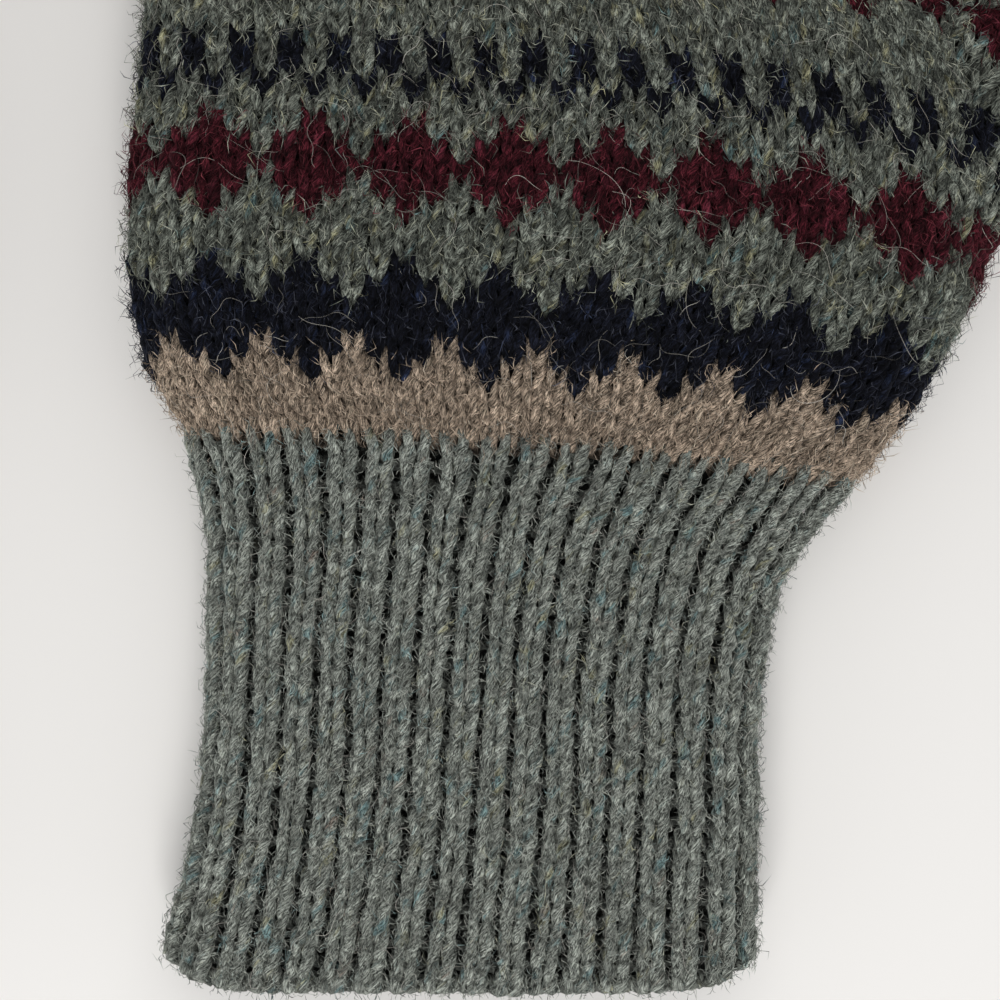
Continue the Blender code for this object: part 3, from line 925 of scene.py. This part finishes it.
def mitten_centre(side):
    """The middle of the cuff's edge in the row's frame."""
    low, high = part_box(f"{side}_cast_on_edge")
    off_middle = (EDGES[0][1] + EDGES[0][2]) / 2 * MM * (1 if side == "right" else -1)
    return np.array([(low.x + high.x) / 2 - off_middle, low.y, 0.0])


CENTRES = {side: mitten_centre(side) for side in ("right", "left")}


def make_object(name, side, part, materials):
    """The piece in the row's frame, in metres. Its faces all have the same number of corners."""
    mirrored = side == "left"
    world = part["points"] * [MM * (-1 if mirrored else 1), MM, MM] + CENTRES[side]
    faces = part["faces"][:, ::-1] if mirrored else part["faces"]
    mesh = bpy.data.meshes.new(name)
    mesh.vertices.add(len(world))
    mesh.vertices.foreach_set("co", world.astype(np.float32).ravel())
    mesh.loops.add(faces.size)
    mesh.loops.foreach_set("vertex_index", faces.astype(np.int32).ravel())
    mesh.polygons.add(len(faces))
    mesh.polygons.foreach_set("loop_start", np.arange(0, faces.size, faces.shape[1], dtype=np.int32))
    used = sorted(set(part["yarn"].tolist()))
    for index in used:
        mesh.materials.append(materials[index])
    mesh.polygons.foreach_set("material_index", np.searchsorted(used, part["yarn"]).astype(np.int32))
    mesh.update(calc_edges=True)
    mesh.shade_smooth()
    for key, kind, field in ATTRIBUTES:
        if key in part:
            attribute = mesh.attributes.new(key, kind, "POINT")
            attribute.data.foreach_set(field, part[key].astype(np.float32).ravel())
    obj = bpy.data.objects.new(name, mesh)
    bpy.context.scene.collection.objects.link(obj)
    return obj


def follow(obj, side, tube):
    """A piece of the hand is parented to the hand's body; a piece of the cuff, the fingers or the thumb has
    its transform applied to its mesh and is attached to no body.
    """
    hand = f"{side}_hand"

    if tube == "cuff":
        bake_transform(obj)
    elif tube == "fingers":
        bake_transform(obj)
    elif tube == "thumb":
        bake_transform(obj)
    else:
        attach(obj, hand)


def band_heights(tube, first, last):
    """Lowest and highest height of a band's lining."""
    if tube == "cuff":
        return first * CUFF_ROW if first else CUFF_LINING_FROM, last * CUFF_ROW
    low, high = CUFF_TOP + first * ROW, CUFF_TOP + last * ROW
    if last == FINGER_ROWS:
        high = LENGTH - TIP_LINING_ROOM
    if last == THUMB_ROWS:
        high = SPLIT + THUMB_LENGTH - TIP_LINING_ROOM
    return low, high


def fuzz_on(parts, tube, low, high, with_strays, jitter):
    """The loose fibres of a band, whose yarns are given."""
    stitches = sum(len(part["points"]) for part in parts) / (SAMPLES * SIDES)
    hair = CUFF_HAIR if tube == "cuff" else HAND_HAIR
    fuzz = [hairs(parts, int(stitches * HAIRS_PER_STITCH), *hair, jitter)]
    if with_strays:
        thumb = tube == "thumb"
        count = int(stitches * STRAYS_PER_STITCH)
        cells = jitter.uniform(0.5, (THUMB_FACE if thumb else BASE) - 0.5, count)
        end = (SPLIT + THUMB_LENGTH if thumb else LENGTH) - STRAY_ROOM
        heights = jitter.uniform(low + 0.5, min(high, end) - 0.5, count)
        fuzz.append(strays(1 if thumb else 0, cells, heights, jitter.choice((-1, 1), count), jitter))
    return stacked(fuzz, ("points", "shade", "strand", "yarn"))


def build_mitten(side, seed, yarns, fibres):
    for name, cad, slot, tube, first, last in BANDS:
        parts = []
        for row in range(first, last):
            jitter = np.random.RandomState(seed * 10000 + 100 * len(tube) + row)
            parts.append(tube_of(row_path(row, tube, jitter), jitter))
        if last in (FINGER_ROWS, THUMB_ROWS):
            parts += graft(tube, np.random.RandomState(seed + 5))
        low, high = band_heights(tube, first, last)
        behind = lining(tube, low, high, CUFF_ROW if tube == "cuff" else ROW)
        obj = make_object(f"{side}_{name}", side, joined(parts + [behind]), yarns)
        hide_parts(f"{side}_{cad}")
        follow(obj, side, tube)
        jitter = np.random.RandomState(seed * 31 + first + 100 * len(tube))
        fuzz = fuzz_on(parts, tube, low, high, last - first > 2, jitter)
        obj = make_object(f"{side}_{name}_fuzz", side, fuzz, fibres)
        follow(obj, side, tube)

    edge_yarn = joined(cast_on(np.random.RandomState(seed + 77)))
    obj = make_object(f"{side}_cast_on", side, edge_yarn, yarns)
    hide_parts(f"{side}_cast_on_edge")
    follow(obj, side, "cuff")


# ------------------------------------------------------------------------------------------- stage

PAPER = (0.80, 0.775, 0.745)
FLOOR_SIZE, FLOOR_Z = 6, -0.0006  # metres, and so are the next places and sizes
WALLS, CEILING = (0.76, 0.785, 0.82), (0.25, 0.255, 0.26)
# Each lamp's name, its place from what the camera looks at, its size and its watts.
LAMPS = (
    ("window", (-0.06, -0.72, 0.58), 0.45, 6.6),
    ("room", (0.1, 0.6, 0.9), 1.2, 4.3),
)
LOOK_AT = (5.5, 67.6, 10.0)  # in the right-hand mitten's own frame
CAMERA_HEIGHT, LENS = 0.33, 86


def lay_floor():
    bpy.ops.mesh.primitive_plane_add(size=FLOOR_SIZE, location=(0, 0, FLOOR_Z))
    floor = bpy.context.object
    floor.name = "floor"
    paper = bpy.data.materials.new("paper")
    paper.use_nodes = True
    shader = paper.node_tree.nodes["Principled BSDF"]
    shader.inputs["Base Color"].default_value = (*PAPER, 1)
    shader.inputs["Roughness"].default_value = 0.9
    floor.data.materials.append(paper)


def light_room(scene, view_at):
    """Bright walls under a darker ceiling, a window lamp and a wide one."""
    world = bpy.data.worlds.new("studio")
    scene.world = world
    world.use_nodes = True
    tree = world.node_tree
    direction = node(tree, "ShaderNodeTexCoord", (-900, 0))
    parts = node(tree, "ShaderNodeSeparateXYZ", (-700, 0))
    tree.links.new(direction.outputs["Generated"], parts.inputs["Vector"])
    light = ramp(tree, parts.outputs["Z"], ((0.0, WALLS), (0.35, WALLS), (0.75, CEILING)), (-400, 0))
    tree.links.new(light, tree.nodes["Background"].inputs["Color"])
    for name, offset, size, power in LAMPS:
        data = bpy.data.lights.new(name, "AREA")
        data.size = size
        data.energy = power
        lamp = bpy.data.objects.new(name, data)
        lamp.location = view_at + Vector(offset)
        lamp.rotation_euler = (view_at - lamp.location).to_track_quat("-Z", "Y").to_euler()
        scene.collection.objects.link(lamp)


def set_the_stage():
    scene = bpy.context.scene
    scene.view_settings.view_transform = "Standard"
    view_at = Vector(CENTRES["right"]) + Vector([c * MM for c in LOOK_AT])
    lay_floor()
    light_room(scene, view_at)
    data = bpy.data.cameras.new("camera")
    data.lens = LENS
    camera = bpy.data.objects.new("camera", data)
    camera.location = view_at + Vector((0, 0, CAMERA_HEIGHT))
    scene.collection.objects.link(camera)
    scene.camera = camera


set_the_stage()
wools, loose = make_materials()
build_mitten("right", 1, wools, loose)
build_mitten("left", 2, wools, loose)
